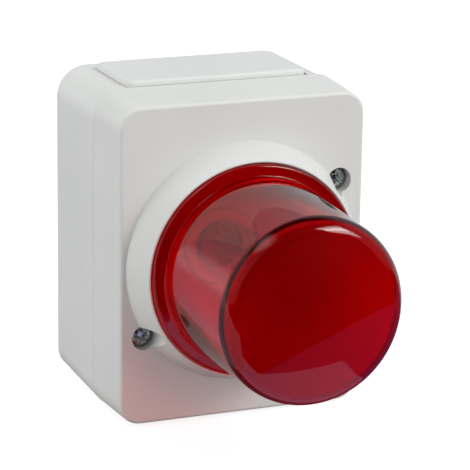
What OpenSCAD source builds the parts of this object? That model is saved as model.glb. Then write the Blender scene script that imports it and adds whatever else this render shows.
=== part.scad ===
// Wall-mounted signal lamp: a two-part housing with a screw-in red lens over a screw-base bulb.
// The pieces are drawn lying on the wall face: x to the right, y up, z out from the wall.
// stand() then turns them upright, with the wall face at y = 0 and the lens pointing to -y.

/* [Housing] */
// Width of the housing at the wall
housing_w = 66; // [64:0.5:76]
// Height of the housing at the wall
housing_h = 82.8; // [80:0.2:96]
// Depth of the rear box, from the wall to the seam
base_d = 30.4; // [28:0.2:38]
// Depth of the front cover, from the seam to its front face
cover_d = 18; // [16:0.5:24]
// Thickness of the side walls
wall = 2.4; // [2:0.1:3]
// Thickness of the rear wall
rear_wall = 2.6; // [2:0.1:3.4]
// Thickness of the front wall
front_wall = 2.5; // [2:0.1:3]
// How far each wall of the rear box leans out by the seam
base_flare = 0.3; // [0.1:0.05:0.5]
// How far each wall of the cover leans in by the front face
cover_lean = 0.85; // [0.4:0.05:1.4]
// Corner radius of the rear box, upper corners
base_top_r = 8; // [6:0.5:8]
// Corner radius of the rear box, lower corners
base_foot_r = 6; // [5:0.5:8]
// Corner radius of the cover at the seam
cover_r = 6.5; // [5.5:0.5:8]
// Rounding of the cover's front edge
front_edge_r = 0.9; // [0.5:0.1:1.4]
// Rounding of both edges at the seam
seam_r = 0.2; // [0.1:0.05:0.4]
// Rounding of the rear box's edge at the wall
rear_edge_r = 0.4; // [0.2:0.1:0.8]

/* [Seam gasket] */
// Width of the rear box's rim outside the gasket
rim_w = 1.2; // [1:0.1:1.4]
// Height of the gasket
gasket_h = 1.6; // [1.2:0.1:2.4]

/* [Collar] */
// Height of the collar above the front face
collar_h = 8.4; // [7:0.2:10]
// How far the collar's flank spreads towards its foot
collar_spread = 3; // [2:0.1:3.4]
// Width of the rim around the lens flange
collar_rim_w = 0.5; // [0.4:0.05:0.8]
// Depth of the lens seat below the rim
seat_depth = 1.6; // [1.4:0.1:2]
// Thickness of the collar's flank and of the roof of its seat
collar_wall = 2.2; // [1.8:0.1:2.4]
// Wall of the cup that takes the lens skirt
tube_wall = 1.8; // [1.4:0.1:2]
// Thickness of the cup's floor around the lamp holder
cup_floor = 1.8; // [1.4:0.1:2.2]

/* [Lens] */
// How far the lens axis lies below the middle of the housing
lens_drop = 0.55; // [0:0.05:1]
// Radius of the lens flange
flange_r = 27.2; // [26:0.1:27.6]
// Thickness of the flange at its rounded edge
flange_edge_h = 1; // [0.8:0.1:1.4]
// Rounding of the flange's front edge
flange_edge_r = 0.8; // [0.4:0.1:1]
// Radius of the lens body where it leaves the flange
lens_foot_r = 24.2; // [23.6:0.1:25]
// Radius of the lens body where its front edge starts to round
lens_front_r = 23.35; // [22.8:0.05:24]
// Length of the lens body, from the flange to the rim of its front
lens_len = 37.6; // [32:0.1:43]
// Rounding of the lens's front edge
lens_edge_r = 5; // [3:0.1:6]
// Height of the domed front above its rim
lens_crown = 2; // [1:0.1:4]
// Wall of the lens
lens_wall = 1.9; // [1.6:0.1:2.4]
// Outer radius of the threaded skirt
skirt_r = 22.6; // [22:0.1:23]
// Length of the skirt below the flange
skirt_len = 9; // [7:0.2:11]
// Thickness of the lens seal
seal_h = 1; // [0.8:0.1:1.2]

/* [Cable entry plate] */
// Width of the plate across the top of the rear box
plate_w = 49; // [44:0.5:49.5]
// Distance of the plate from the wall
plate_rear = 5.6; // [5:0.2:7]
// Height of the plate above the top of the rear box
plate_proud = 1.8; // [1.2:0.1:2.4]
// Corner radius of the plate
plate_r = 2.5; // [2:0.1:4]
// Overlap of the plate over the edges of its slot
plate_lip = 2.5; // [2:0.1:3]
// Thickness of the plate's inner flange
plate_flange_h = 1.4; // [1:0.1:2]
// Radius of the knock-outs
knockout_r = 10.25; // [8:0.25:10.25]
// Width of the knock-out grooves
groove_w = 0.5; // [0.4:0.1:1]
// Depth of the knock-out grooves
groove_depth = 0.4; // [0.2:0.05:0.6]

/* [Fixings] */
// Distance of the cover screws from the side of the housing
screw_side = 7; // [6.6:0.1:7.6]
// Height of the upper cover screw above the middle of the housing
screw_rise = 18.1; // [17:0.1:20]
// Radius of the cover screw's shank
screw_r = 1.45; // [1.2:0.05:1.6]
// Radius of the cover screw's head
screw_head_r = 2.75; // [2.4:0.05:2.8]
// Height of the cover screw's head
screw_head_h = 2; // [1.6:0.1:2.4]
// Length of the cover screw below its head
screw_len = 26; // [20:0.5:32]
// Radius of the pocket around a cover screw's head
pocket_r = 3.25; // [3.1:0.05:3.4]
// Depth of the screw pockets below the front face
pocket_depth = 4; // [3.4:0.1:5]
// Wall around the screw pockets
boss_wall = 1.6; // [1.2:0.1:1.8]
// Distance between the wall fixing holes
wall_hole_pitch = 60; // [56:0.5:64]
// Radius of the wall fixing holes
wall_hole_r = 2.25; // [2:0.05:2.6]

/* [Lamp carrier] */
// Width of the carrier plate
carrier_w = 40; // [38:0.5:42]
// Height of the carrier plate
carrier_h = 49; // [48:0.5:51]
// Thickness of the carrier plate
carrier_t = 2.4; // [2:0.1:3]
// Distance of the carrier plate from the rear wall
carrier_gap = 4; // [3.6:0.2:9]
// Corner radius of the carrier plate
carrier_r = 3; // [2:0.5:4]
// Radius of the small screws that hold the carrier and the lamp holder
fixing_r = 1.25; // [1:0.05:1.4]
// Radius of the heads of the small screws
fixing_head_r = 2.3; // [2:0.05:2.5]
// Height of the heads of the small screws
fixing_head_h = 1.6; // [1.2:0.1:2]

/* [Lamp holder] */
// Outer radius of the lamp holder at its foot
holder_foot_r = 11.6; // [11:0.1:12]
// Outer radius of the lamp holder at its mouth
holder_mouth_r = 10.8; // [10.2:0.1:11.4]
// Height of the lamp holder
holder_h = 24; // [23:0.5:27]
// Height of the holder's floor under the threaded shell
holder_floor = 6.8; // [6.4:0.2:8]
// Outer radius of the threaded shell
shell_r = 7.5; // [7.4:0.05:7.8]
// Wall of the threaded shell
shell_wall = 0.45; // [0.35:0.05:0.45]
// Distance of the holder's fixing ears from the lamp axis
ear_reach = 15; // [14.8:0.1:16]
// Thickness of the fixing ears
ear_h = 2.6; // [2:0.1:3]
// Thickness of the contact strips
strip_t = 0.5; // [0.4:0.05:0.6]
// Width of the contact strips
strip_w = 4; // [3:0.1:4.4]

/* [Terminals] */
// Distance between neighbouring terminals
pole_pitch = 8.5; // [8:0.1:9]
// Size of the terminal block along the wire
block_len = 10; // [9.5:0.1:10.5]
// Height of the terminal block
block_h = 12; // [11:0.5:14]
// Wall between the terminals
pole_wall = 1.5; // [1.2:0.1:1.8]
// Radius of the clamp screws
clamp_screw_r = 1.5; // [1.2:0.05:1.6]
// Wall of the clamp cages
clamp_wall = 0.9; // [0.7:0.1:1]

/* [Bulb] */
// Radius of the bulb's glass
bulb_r = 8; // [7.6:0.1:9]
// Length of the bulb, from its tip contact to the end of the glass
bulb_len = 54; // [48:0.5:58]
// Radius of the bulb's screw cap
cap_r = 6.9; // [6.7:0.05:6.95]
// Length of the screw cap
cap_len = 17; // [15:0.5:19]
// Wall of the glass
glass_wall = 0.8; // [0.6:0.1:1]

/* [Clearances] */
// Play around pieces that slip into each other
slip = 0.1; // [0.05:0.01:0.15]
// Radial play of the lens skirt in its tube and of the flange in its seat
lens_play = 0.3; // [0.25:0.01:0.4]
// Gap between the seal and the faces it closes
seal_gap = 0.05; // [0.03:0.01:0.08]
// Radial play of a screw in its pilot hole
thread_play = 0.05; // [0.03:0.01:0.08]
// Radial play of a screw in a passing hole
pass_play = 0.25; // [0.2:0.05:0.4]

/* [Hidden] */
$fn = 96;
// Overshoot of cutting tools past the faces they cut
over = 1;
// Finest step of a leaning wall's coordinates
grain = 0.001;
// Straight steps in a small rounding and in a lens or bulb curve
arc_steps = 6;
dome_steps = 14;

// Stations along the depth
front_z = base_d + cover_d;
rim_z = front_z + collar_h;
seat_z = rim_z - seat_depth;
seal_z = seat_z + seal_gap;
flange_z = seal_z + seal_h + seal_gap;
flange_top_z = flange_z + flange_edge_h + flange_edge_r;
lens_rim_z = flange_top_z + lens_len;
skirt_end_z = flange_z - skirt_len;
pocket_z = front_z - pocket_depth;
carrier_z = rear_wall + carrier_gap;
deck_z = carrier_z + carrier_t;
shell_z = deck_z + holder_floor;
holder_mouth_z = deck_z + holder_h;
cup_z = holder_mouth_z - slip;
cup_end_z = cup_z - cup_floor;

// Section sizes at the seam
seam_w = housing_w + 2 * base_flare;
seam_h = housing_h + 2 * base_flare;
seam_top_r = base_top_r + base_flare;
seam_foot_r = base_foot_r + base_flare;

// Radii of the collar and of the lens cup
bore_r = skirt_r + lens_play;
tube_r = bore_r + tube_wall;
seat_r = flange_r + lens_play;
rim_r = seat_r + collar_rim_w;
collar_r = rim_r + collar_spread;
core_r = collar_r - collar_wall;
cup_hole_r = holder_mouth_r + lens_play;
rim_edge_r = 0.25;

// Cover screws stand on one diagonal
screw_x = housing_w / 2 - screw_side;
cover_screw_places = [[screw_x, screw_rise], [-screw_x, -screw_rise]];
boss_r = pocket_r + boss_wall;
boss_web = 5;
post_wall = 2.6;
post_r = screw_r + thread_play + post_wall;
web_t = 1.6;
screw_tip_z = pocket_z - screw_len;

// Wall fixing holes on the vertical centre line, with a raised ring inside
wall_hole_places = [[0, wall_hole_pitch / 2], [0, -wall_hole_pitch / 2]];
wall_ring_w = 2;
wall_ring_h = 1;

// Cable entry plate and its slot in the top wall
land_y = housing_h / 2;
plate_len = base_d - plate_rear - slip;
plate_mid_z = plate_rear + plate_len / 2;
slot_half = plate_w / 2 - plate_lip;
slot_rear = plate_rear + plate_lip;
plate_edge_r = 0.8;
plate_lean = 0.2;
foot_knockout_z = base_d / 2;

// Carrier screws stand on the other diagonal
carrier_edge = 0.5;
carrier_grip = 4;
carrier_screw_x = carrier_w / 2 - carrier_r;
carrier_screw_y = carrier_h / 2 - carrier_r - carrier_edge;
carrier_screw_places = [[-carrier_screw_x, carrier_screw_y], [carrier_screw_x, -carrier_screw_y]];
carrier_post_r = 3;
carrier_screw_len = carrier_t + carrier_grip;

// Lamp holder
ear_places = [[ear_reach, 0], [-ear_reach, 0]];
ear_margin = 0.9;
ear_r = fixing_head_r + ear_margin;
holder_screw_len = ear_h + carrier_t + over;
shell_bore_r = shell_r + slip;
shell_sink = 1;
shell_len = holder_mouth_z - shell_z - shell_sink;
shell_lip = 1;
contact_well_r = 5;
strip_slot = strip_w + 2 * slip;
// Shell strip stands beside the shell at the place of the neutral terminal
shell_strip_x = pole_pitch;
shell_strip_rise = 5;
upright_h = shell_z - deck_z + shell_strip_rise;
tongue_w = 3;

// Terminal block sits above the lamp holder, towards the cable entry
poles = [-1, 0, 1];
block_w = len(poles) * pole_pitch + pole_wall;
block_y = holder_foot_r + 2 * strip_t + 2 * slip;
cell_w = pole_pitch - pole_wall;
cell_floor = 2.4;
cell_roof = 2.4;
cell_h = block_h - cell_floor - cell_roof;
cell_back = 1.6;
clamp_setback = 1;
clamp_w = cell_w - 2 * slip;
clamp_len = block_len - cell_back - clamp_setback;
clamp_h = cell_h - slip;
clamp_head_r = 2.1;
clamp_head_h = 1.6;
clamp_z = deck_z + cell_floor;
clamp_y = block_y + cell_back + slip;
strip_tail_z = clamp_z + clamp_wall;
strip_end_y = clamp_y + clamp_len / 2;

// Bulb
tongue_sink = 0.6;
contact_z = shell_z - tongue_sink;
tip_h = 0.7;
tip_r = 2;
tip_end_r = 1.4;
insulator_h = 1.4;
insulator_r = 4.6;
insulator_end_r = 2.6;
cap_z = contact_z + tip_h + insulator_h;
cap_wall = 0.4;
glass_z = cap_z + cap_len;
neck_r = cap_r - cap_wall - slip;
neck_len = 6;
glass_end_z = contact_z + bulb_len;
stem_r = 1.6;
stem_len = 10;
lead_r = 0.35;
lead_spread = 2.2;
lead_len = 9;
stem_foot_h = 1;

// Proportions of a pan-head screw's rounded crown and cross recess
crown_share = 0.6;
recess_w_share = 0.26;
recess_len_share = 1.2;
recess_depth_share = 0.5;
cover_screw_turn = 25;

white = [0.9, 0.9, 0.88];
red = [0.72, 0.03, 0.06];
zinc = [0.7, 0.72, 0.74];
brass = [0.8, 0.66, 0.35];
cream = [0.88, 0.87, 0.8];
rubber = [0.14, 0.14, 0.15];
silicone = [0.82, 0.82, 0.8];
clear = [0.85, 0.9, 0.92, 0.5];

// Turns a piece from lying on the wall face to standing upright
module stand() {
    rotate([90, 0, 0]) children();
}

// Moves a piece down onto the lens axis
module on_axis() {
    translate([0, -lens_drop, 0]) children();
}

// Repeats a piece at each of the given places
module at(places, z = 0) {
    for (place = places) {
        translate([place[0], place[1], z]) children();
    }
}

// Points of an arc about a centre, from one angle to another
function arc(centre, r, from, to, steps = arc_steps) = [
    for (i = [0 : steps])
        let (a = from + (to - from) * i / steps)
        [centre[0] + r * cos(a), centre[1] + r * sin(a)]
];

// Points kept to whole steps of grain, so that neighbouring faces meet exactly
function tidy(points) = [for (p = points) [round(p[0] / grain) * grain, round(p[1] / grain) * grain]];

// Outer side of a leaning wall: reach at its foot, lean inwards by its top, with both edges rounded
function side(reach, d, lean, edge_r, foot_r) =
    let (tilt = atan(lean / d))
    let (inset = (edge_r + (d - edge_r) * sin(tilt)) / cos(tilt))
    let (foot_inset = (foot_r + foot_r * sin(tilt)) / cos(tilt))
    tidy(concat(
        foot_r > 0 ? arc([reach - foot_inset, foot_r], foot_r, -90, tilt) : [[reach, 0]],
        edge_r > 0 ? arc([reach - inset, d - edge_r], edge_r, tilt, 90) : [[reach - lean, d]]
    ));

function mirrored(points) = [for (i = [len(points) - 1 : -1 : 0]) [-points[i][0], points[i][1]]];

// Rounded box with leaning walls: w and h are taken at its foot, d is its height
module leaning_box(w, h, d, r_top, r_foot, lean = 0, edge_r = 0, foot_r = 0) {
    top = h / 2 - r_top;
    foot = r_foot - h / 2;
    across = side(w / 2, d, lean, edge_r, foot_r);
    upper = concat([[0, 0]], side(r_top, d, lean, edge_r, foot_r), [[0, d]]);
    lower = concat([[0, 0]], side(r_foot, d, lean, edge_r, foot_r), [[0, d]]);
    translate([0, top, 0]) rotate([90, 0, 0])
        linear_extrude(top - foot) polygon(concat(across, mirrored(across)));
    translate([r_top - w / 2, top, 0]) rotate([90, 0, 90])
        linear_extrude(w - 2 * r_top) polygon(upper);
    translate([w / 2 - r_foot, foot, 0]) rotate([90, 0, -90])
        linear_extrude(w - 2 * r_foot) polygon(lower);
    for (flip = [0, 1]) {
        mirror([flip, 0, 0]) {
            translate([w / 2 - r_top, top, 0]) rotate_extrude(angle = 90) polygon(upper);
            translate([w / 2 - r_foot, foot, 0]) rotate([0, 0, -90])
                rotate_extrude(angle = 90) polygon(lower);
        }
    }
}

// Ring of rectangular section
module ring(r_in, r_out, h) {
    difference() {
        cylinder(r = r_out, h = h);
        translate([0, 0, -over]) cylinder(r = r_in, h = h + 2 * over);
    }
}

// Groove of a knock-out, cut from z = 0 downwards
module knockout_groove() {
    translate([0, 0, -groove_depth]) ring(knockout_r - groove_w, knockout_r, groove_depth + over);
}

// Room for the gasket inside the rim of the rear box
module gasket_room(grow = 0) {
    translate([0, 0, base_d - gasket_h])
        leaning_box(seam_w - 2 * rim_w + 2 * grow, seam_h - 2 * rim_w + 2 * grow, gasket_h + over,
            seam_top_r - rim_w + grow, seam_foot_r - rim_w + grow);
}

// Inside of the rear box, from the rear wall to past the seam
module base_cavity() {
    translate([0, 0, rear_wall])
        leaning_box(housing_w - 2 * wall, housing_h - 2 * wall, base_d, base_top_r - wall, base_foot_r - wall,
            -base_flare);
}

// Rear box with its posts, wall holes, plate slot and gasket seat
module base_housing() {
    color(white) stand() difference() {
        union() {
            difference() {
                leaning_box(
                    housing_w, housing_h, base_d, base_top_r, base_foot_r,
                    -base_flare, seam_r, rear_edge_r
                );
                base_cavity();
                gasket_room();
            }
            at(cover_screw_places) cylinder(r = post_r, h = base_d);
            for (turn = [0, 180]) {
                rotate(turn) translate([screw_x, screw_rise - web_t / 2, 0])
                    cube([screw_side - wall / 2, web_t, base_d - gasket_h - over]);
            }
            on_axis() at(carrier_screw_places) cylinder(r = carrier_post_r, h = carrier_z);
            at(wall_hole_places) cylinder(r = wall_hole_r + wall_ring_w, h = rear_wall + wall_ring_h);
        }
        at(cover_screw_places, screw_tip_z - over)
            cylinder(r = screw_r + thread_play, h = base_d - screw_tip_z + 2 * over);
        on_axis() at(carrier_screw_places, carrier_z - carrier_grip - over)
            cylinder(r = fixing_r + thread_play, h = carrier_grip + 2 * over);
        at(wall_hole_places, -over) cylinder(r = wall_hole_r, h = rear_wall + wall_ring_h + 2 * over);
        translate([-slot_half, land_y - wall - over, slot_rear])
            cube([2 * slot_half, wall + base_flare + 2 * over, base_d]);
        translate([-plate_w / 2 - slip, land_y, plate_rear - slip])
            cube([plate_w + 2 * slip, base_flare + over, base_d]);
        rotate([0, 180, 0]) knockout_groove();
        translate([0, -housing_h / 2 - base_flare * foot_knockout_z / base_d, foot_knockout_z])
            rotate([90, 0, 0]) knockout_groove();
    }
}

// Slide-in plate that closes the cable entry, with a knock-out cut from inside
module entry_plate() {
    neck_half = slot_half - slip;
    neck_rear = slot_rear + slip;
    flange_half = slot_half + plate_lip / 2;
    flange_rear = slot_rear - plate_lip / 2;
    flange_len = base_d - gasket_h - over - flange_rear;
    inner_y = land_y - wall - slip;
    color(white) stand() difference() {
        union() {
            translate([0, land_y, plate_mid_z]) rotate([-90, 0, 0])
                leaning_box(plate_w, plate_len, plate_proud, plate_r, plate_r, plate_lean, plate_edge_r);
            translate([-neck_half, inner_y, neck_rear])
                cube([2 * neck_half, wall + slip, base_d - slip - neck_rear]);
            translate([-flange_half, inner_y - plate_flange_h, flange_rear])
                cube([2 * flange_half, plate_flange_h, flange_len]);
        }
        gasket_room(slip);
        translate([0, inner_y - plate_flange_h, plate_mid_z]) rotate([90, 0, 0]) knockout_groove();
    }
}

// Rubber seal between the rear box and the cover
module housing_gasket() {
    gap = wall - rim_w - slip;
    w = seam_w - 2 * rim_w - 2 * slip;
    h = seam_h - 2 * rim_w - 2 * slip;
    top_r = seam_top_r - rim_w - slip;
    foot_r = seam_foot_r - rim_w - slip;
    color(rubber) stand() translate([0, 0, base_d - gasket_h]) difference() {
        leaning_box(w, h, gasket_h, top_r, foot_r);
        translate([0, 0, -over])
            leaning_box(w - 2 * gap, h - 2 * gap, gasket_h + 2 * over, top_r - gap, foot_r - gap);
    }
}

// Outer shape of the collar, from inside the front wall to its rim
module collar_envelope() {
    rotate_extrude()
        polygon(concat(
            [[0, front_z - front_wall], [collar_r, front_z - front_wall], [collar_r, front_z]],
            arc([rim_r - rim_edge_r, rim_z - rim_edge_r], rim_edge_r, 0, 90),
            [[0, rim_z]]
        ));
}

// Core behind the collar's flank, up to the roof under the lens seat
module collar_core() {
    core_z = front_z - front_wall - over;
    roof_z = seat_z - collar_wall;
    core_top_r = rim_r + collar_spread * (rim_z - roof_z) / collar_h - collar_wall;
    rotate_extrude()
        polygon([
            [bore_r, core_z], [core_r, core_z], [core_r, front_z],
            [core_top_r, roof_z], [bore_r, roof_z]
        ]);
}

// Columns around the screw pockets, joined to the side walls, and the cup for the lens skirt
module cover_columns() {
    foot_z = base_d - 2 * over;
    for (turn = [0, 180]) {
        rotate(turn) translate([screw_x, screw_rise, foot_z]) {
            cylinder(r = boss_r, h = rim_z - foot_z);
            translate([0, -boss_web / 2, 0]) cube([screw_side, boss_web, rim_z - foot_z]);
        }
    }
    on_axis() translate([0, 0, cup_end_z]) cylinder(r = tube_r, h = seat_z - cup_end_z);
}

// Front cover with the lens collar, the lens cup and two screw pockets
module front_cover() {
    inside_d = cover_d - front_wall;
    inside_lean = round(cover_lean * inside_d / cover_d / grain) * grain;
    color(white) stand() difference() {
        union() {
            translate([0, 0, base_d])
                leaning_box(seam_w, seam_h, cover_d, cover_r, cover_r, cover_lean, front_edge_r, seam_r);
            on_axis() collar_envelope();
        }
        difference() {
            union() {
                translate([0, 0, base_d - over])
                    leaning_box(seam_w - 2 * wall, seam_h - 2 * wall, inside_d + over,
                        cover_r - wall, cover_r - wall, inside_lean);
                on_axis() collar_core();
            }
            cover_columns();
        }
        on_axis() {
            translate([0, 0, cup_end_z - over]) cylinder(r = cup_hole_r, h = rim_z - cup_end_z);
            translate([0, 0, cup_z]) cylinder(r = bore_r, h = rim_z - cup_z + over);
            translate([0, 0, seat_z]) cylinder(r = seat_r, h = seat_depth + over);
        }
        at(cover_screw_places, pocket_z) cylinder(r = pocket_r, h = rim_z);
        at(cover_screw_places, base_d - over) cylinder(r = screw_r + pass_play, h = cover_d);
    }
}

// Pan-head screw standing on z = 0 under its head, shank downwards, with a cross recess
module pan_screw(r, length, head_r, head_h) {
    recess_w = head_r * recess_w_share;
    recess_len = head_r * recess_len_share;
    recess_depth = head_h * recess_depth_share;
    crown_r = head_h * crown_share;
    difference() {
        rotate_extrude()
            polygon(concat(
                [[0, -length], [r, -length], [r, 0], [head_r, 0]],
                arc([head_r - crown_r, head_h - crown_r], crown_r, 0, 90),
                [[0, head_h]]
            ));
        for (turn = [0, 90]) {
            rotate(turn) translate([-recess_len / 2, -recess_w / 2, head_h - recess_depth])
                cube([recess_len, recess_w, head_h]);
        }
    }
}

// Two screws that hold the cover to the rear box
module cover_screws() {
    color(zinc) stand() at(cover_screw_places, pocket_z)
        rotate(cover_screw_turn) pan_screw(screw_r, screw_len, screw_head_r, screw_head_h);
}

// Points of a crown from a rim radius to the axis, rising by crown
function dome(rim, z, crown) =
    let (ball_r = (rim * rim + crown * crown) / (2 * crown))
    [
        for (i = [1 : dome_steps])
            let (r = rim * (1 - i / dome_steps))
            [r, z + crown - ball_r + sqrt(ball_r * ball_r - r * r)]
    ];

// Points of a hood's front: a rounded edge that runs smoothly into a dome
function hood(front_r, rim, edge_r) =
    let (flat_r = front_r - edge_r)
    let (ball_r = (flat_r * flat_r + lens_crown * lens_crown) / (2 * lens_crown) + edge_r)
    let (tilt = asin(flat_r / (ball_r - edge_r)))
    concat(
        arc([flat_r, rim - edge_r], edge_r, 0, 90 - tilt, dome_steps),
        dome(ball_r * sin(tilt), rim - edge_r + edge_r * cos(tilt), ball_r * (1 - cos(tilt)))
    );

// Red lens: threaded skirt, rounded flange, slightly tapered body and crowned front
module lens() {
    outside = concat(
        [[skirt_r, skirt_end_z], [skirt_r, flange_z], [flange_r, flange_z]],
        arc([flange_r - flange_edge_r, flange_z + flange_edge_h], flange_edge_r, 0, 75),
        [[lens_foot_r, flange_top_z]],
        hood(lens_front_r, lens_rim_z, lens_edge_r)
    );
    inside = concat(
        [[skirt_r - lens_wall, skirt_end_z], [skirt_r - lens_wall, flange_z],
            [lens_foot_r - lens_wall, flange_top_z]],
        hood(lens_front_r - lens_wall, lens_rim_z - lens_wall, lens_edge_r - lens_wall / 2)
    );
    inward = [for (i = [len(inside) - 1 : -1 : 0]) inside[i]];
    color(red) stand() on_axis() rotate_extrude() polygon(concat(outside, inward));
}

// Flat seal under the lens flange
module lens_seal() {
    color(silicone) stand() on_axis() translate([0, 0, seal_z])
        ring(skirt_r + lens_play, flange_r - slip, seal_h);
}

// Insulating plate that carries the lamp holder and the terminals
module lamp_carrier() {
    color(cream) stand() on_axis() difference() {
        translate([0, 0, carrier_z])
            leaning_box(carrier_w, carrier_h, carrier_t, carrier_r, carrier_r);
        at(carrier_screw_places, carrier_z - over)
            cylinder(r = fixing_r + pass_play, h = carrier_t + 2 * over);
        at(ear_places, carrier_z - over)
            cylinder(r = fixing_r + thread_play, h = carrier_t + 2 * over);
    }
}

// Two screws that hold the carrier to the posts of the rear box
module carrier_screws() {
    color(zinc) stand() on_axis() at(carrier_screw_places, deck_z)
        pan_screw(fixing_r, carrier_screw_len, fixing_head_r, fixing_head_h);
}

// Moulded body of the lamp holder, with grooves in its foot for the contact strips
module holder_body() {
    color(white) stand() on_axis() difference() {
        union() {
            translate([0, 0, deck_z])
                cylinder(r1 = holder_foot_r, r2 = holder_mouth_r, h = holder_h);
            translate([0, 0, deck_z]) {
                at(ear_places) cylinder(r = ear_r, h = ear_h);
                translate([-ear_reach, -ear_r, 0]) cube([2 * ear_reach, 2 * ear_r, ear_h]);
            }
        }
        translate([0, 0, shell_z]) cylinder(r = shell_bore_r, h = holder_h);
        translate([0, 0, deck_z - over]) cylinder(r = contact_well_r, h = holder_floor + 2 * over);
        at(ear_places, deck_z - over) cylinder(r = fixing_r + pass_play, h = ear_h + 2 * over);
        for (x = [0, shell_strip_x]) {
            translate([x - strip_slot / 2, -strip_slot / 2, deck_z - over])
                cube([strip_slot, holder_foot_r + strip_slot, over + strip_t + slip]);
        }
        translate([shell_r - slip, -strip_slot / 2, deck_z])
            cube([strip_t + 2 * slip, strip_slot, upright_h + slip]);
    }
}

// Two screws that hold the lamp holder to the carrier
module holder_screws() {
    color(zinc) stand() on_axis() at(ear_places, deck_z + ear_h)
        pan_screw(fixing_r, holder_screw_len, fixing_head_r, fixing_head_h);
}

// Metal shell that takes the bulb's screw cap
module holder_shell() {
    color(brass) stand() on_axis() translate([0, 0, shell_z]) {
        ring(shell_r - shell_wall, shell_r, shell_len);
        ring(contact_well_r + shell_lip, shell_r, shell_wall);
    }
}

// Flat strip along the carrier from y = from, stepping up into a terminal's clamp
module terminal_strip(x, from) {
    riser_y = block_y - slip - strip_t;
    translate([x - strip_w / 2, 0, 0]) {
        translate([0, from, deck_z]) cube([strip_w, riser_y + strip_t - from, strip_t]);
        translate([0, riser_y, deck_z]) cube([strip_w, strip_t, strip_tail_z + strip_t - deck_z]);
        translate([0, riser_y, strip_tail_z]) cube([strip_w, strip_end_y - riser_y, strip_t]);
    }
}

// Strip from the middle terminal to the sprung tongue under the bulb's tip
module centre_contact() {
    color(brass) stand() on_axis() {
        terminal_strip(0, -tongue_w / 2);
        translate([-tongue_w / 2, -tongue_w / 2, deck_z]) cube([tongue_w, strip_t, contact_z - deck_z]);
        translate([-tongue_w / 2, -tongue_w / 2, contact_z - strip_t]) cube([tongue_w, tongue_w, strip_t]);
    }
}

// Strip from the outer terminal to the side of the threaded shell
module shell_strip() {
    color(brass) stand() on_axis() {
        terminal_strip(shell_strip_x, -strip_w / 2);
        translate([shell_r, -strip_w / 2, deck_z]) cube([strip_t, strip_w, upright_h]);
    }
}

// Moulded terminal block with one open cell for each terminal
module terminal_block() {
    color(cream) stand() on_axis() translate([0, block_y, deck_z]) difference() {
        translate([-block_w / 2, 0, 0]) cube([block_w, block_len, block_h]);
        for (pole = poles) {
            translate([pole * pole_pitch, 0, 0]) {
                translate([-cell_w / 2, cell_back, cell_floor]) cube([cell_w, block_len, cell_h]);
                translate([0, cell_back + slip + clamp_len / 2, cell_floor])
                    cylinder(r = clamp_head_r + pass_play, h = block_h);
                translate([-strip_slot / 2, -over, strip_tail_z - deck_z - slip])
                    cube([strip_slot, cell_back + 2 * over, strip_t + 2 * slip]);
            }
        }
    }
}

// Clamp cages of the terminals
module terminal_clamps() {
    window_h = clamp_h - 3 * clamp_wall;
    color(brass) stand() on_axis() for (pole = poles) {
        translate([pole * pole_pitch, clamp_y, clamp_z]) difference() {
            translate([-clamp_w / 2, 0, 0]) cube([clamp_w, clamp_len, clamp_h]);
            translate([clamp_wall - clamp_w / 2, -over, clamp_wall])
                cube([clamp_w - 2 * clamp_wall, clamp_len + 2 * over, window_h]);
            translate([0, clamp_len / 2, clamp_wall + over])
                cylinder(r = clamp_screw_r + thread_play, h = clamp_h);
        }
    }
}

// Screws of the terminal clamps
module terminal_screws() {
    color(zinc) stand() on_axis() for (pole = poles) {
        translate([pole * pole_pitch, clamp_y + clamp_len / 2, clamp_z + clamp_h])
            pan_screw(clamp_screw_r, clamp_h / 2, clamp_head_r, clamp_head_h);
    }
}

// Clear tubular glass of the bulb, with its neck in the cap
module bulb_glass() {
    shoulder = bulb_r - neck_r;
    outside = concat(
        [[neck_r, glass_z - neck_len], [neck_r, glass_z], [bulb_r, glass_z + shoulder]],
        arc([0, glass_end_z - bulb_r], bulb_r, 0, 90, dome_steps)
    );
    inner_r = bulb_r - glass_wall;
    inside = concat(
        [[neck_r - glass_wall, glass_z - neck_len], [neck_r - glass_wall, glass_z],
            [inner_r, glass_z + shoulder]],
        arc([0, glass_end_z - bulb_r], inner_r, 0, 90, dome_steps)
    );
    inward = [for (i = [len(inside) - 1 : -1 : 0]) inside[i]];
    color(clear) stand() on_axis() rotate_extrude() polygon(concat(outside, inward));
}

// Glass stem of the bulb with its foot, lead wires and filament
module bulb_mount() {
    foot_z = glass_z - neck_len;
    stem_top_z = foot_z + stem_len;
    color(zinc) stand() on_axis() {
        translate([0, 0, foot_z]) cylinder(r = neck_r - glass_wall - slip, h = stem_foot_h);
        translate([0, 0, foot_z]) cylinder(r = stem_r, h = stem_len);
        for (flip = [-1, 1]) {
            translate([flip * (stem_r - lead_r), 0, stem_top_z - over])
                rotate([0, flip * atan((lead_spread - stem_r) / lead_len), 0])
                    cylinder(r = lead_r, h = lead_len + over);
        }
        translate([-lead_spread, 0, stem_top_z + lead_len - 2 * lead_r]) rotate([0, 90, 0])
            cylinder(r = lead_r, h = 2 * lead_spread);
    }
}

// Screw cap of the bulb
module bulb_cap() {
    color(brass) stand() on_axis() translate([0, 0, cap_z]) difference() {
        cylinder(r = cap_r, h = cap_len);
        translate([0, 0, cap_wall]) cylinder(r = cap_r - cap_wall, h = cap_len);
        translate([0, 0, -over]) cylinder(r = tip_r, h = cap_len);
    }
}

// Glass insulator between the cap and the tip contact
module bulb_insulator() {
    color(rubber) stand() on_axis() translate([0, 0, cap_z - insulator_h])
        cylinder(r1 = insulator_end_r, r2 = insulator_r, h = insulator_h);
}

// Tip contact of the bulb
module bulb_tip() {
    color(zinc) stand() on_axis() translate([0, 0, contact_z])
        cylinder(r1 = tip_end_r, r2 = tip_r, h = tip_h);
}

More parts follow.
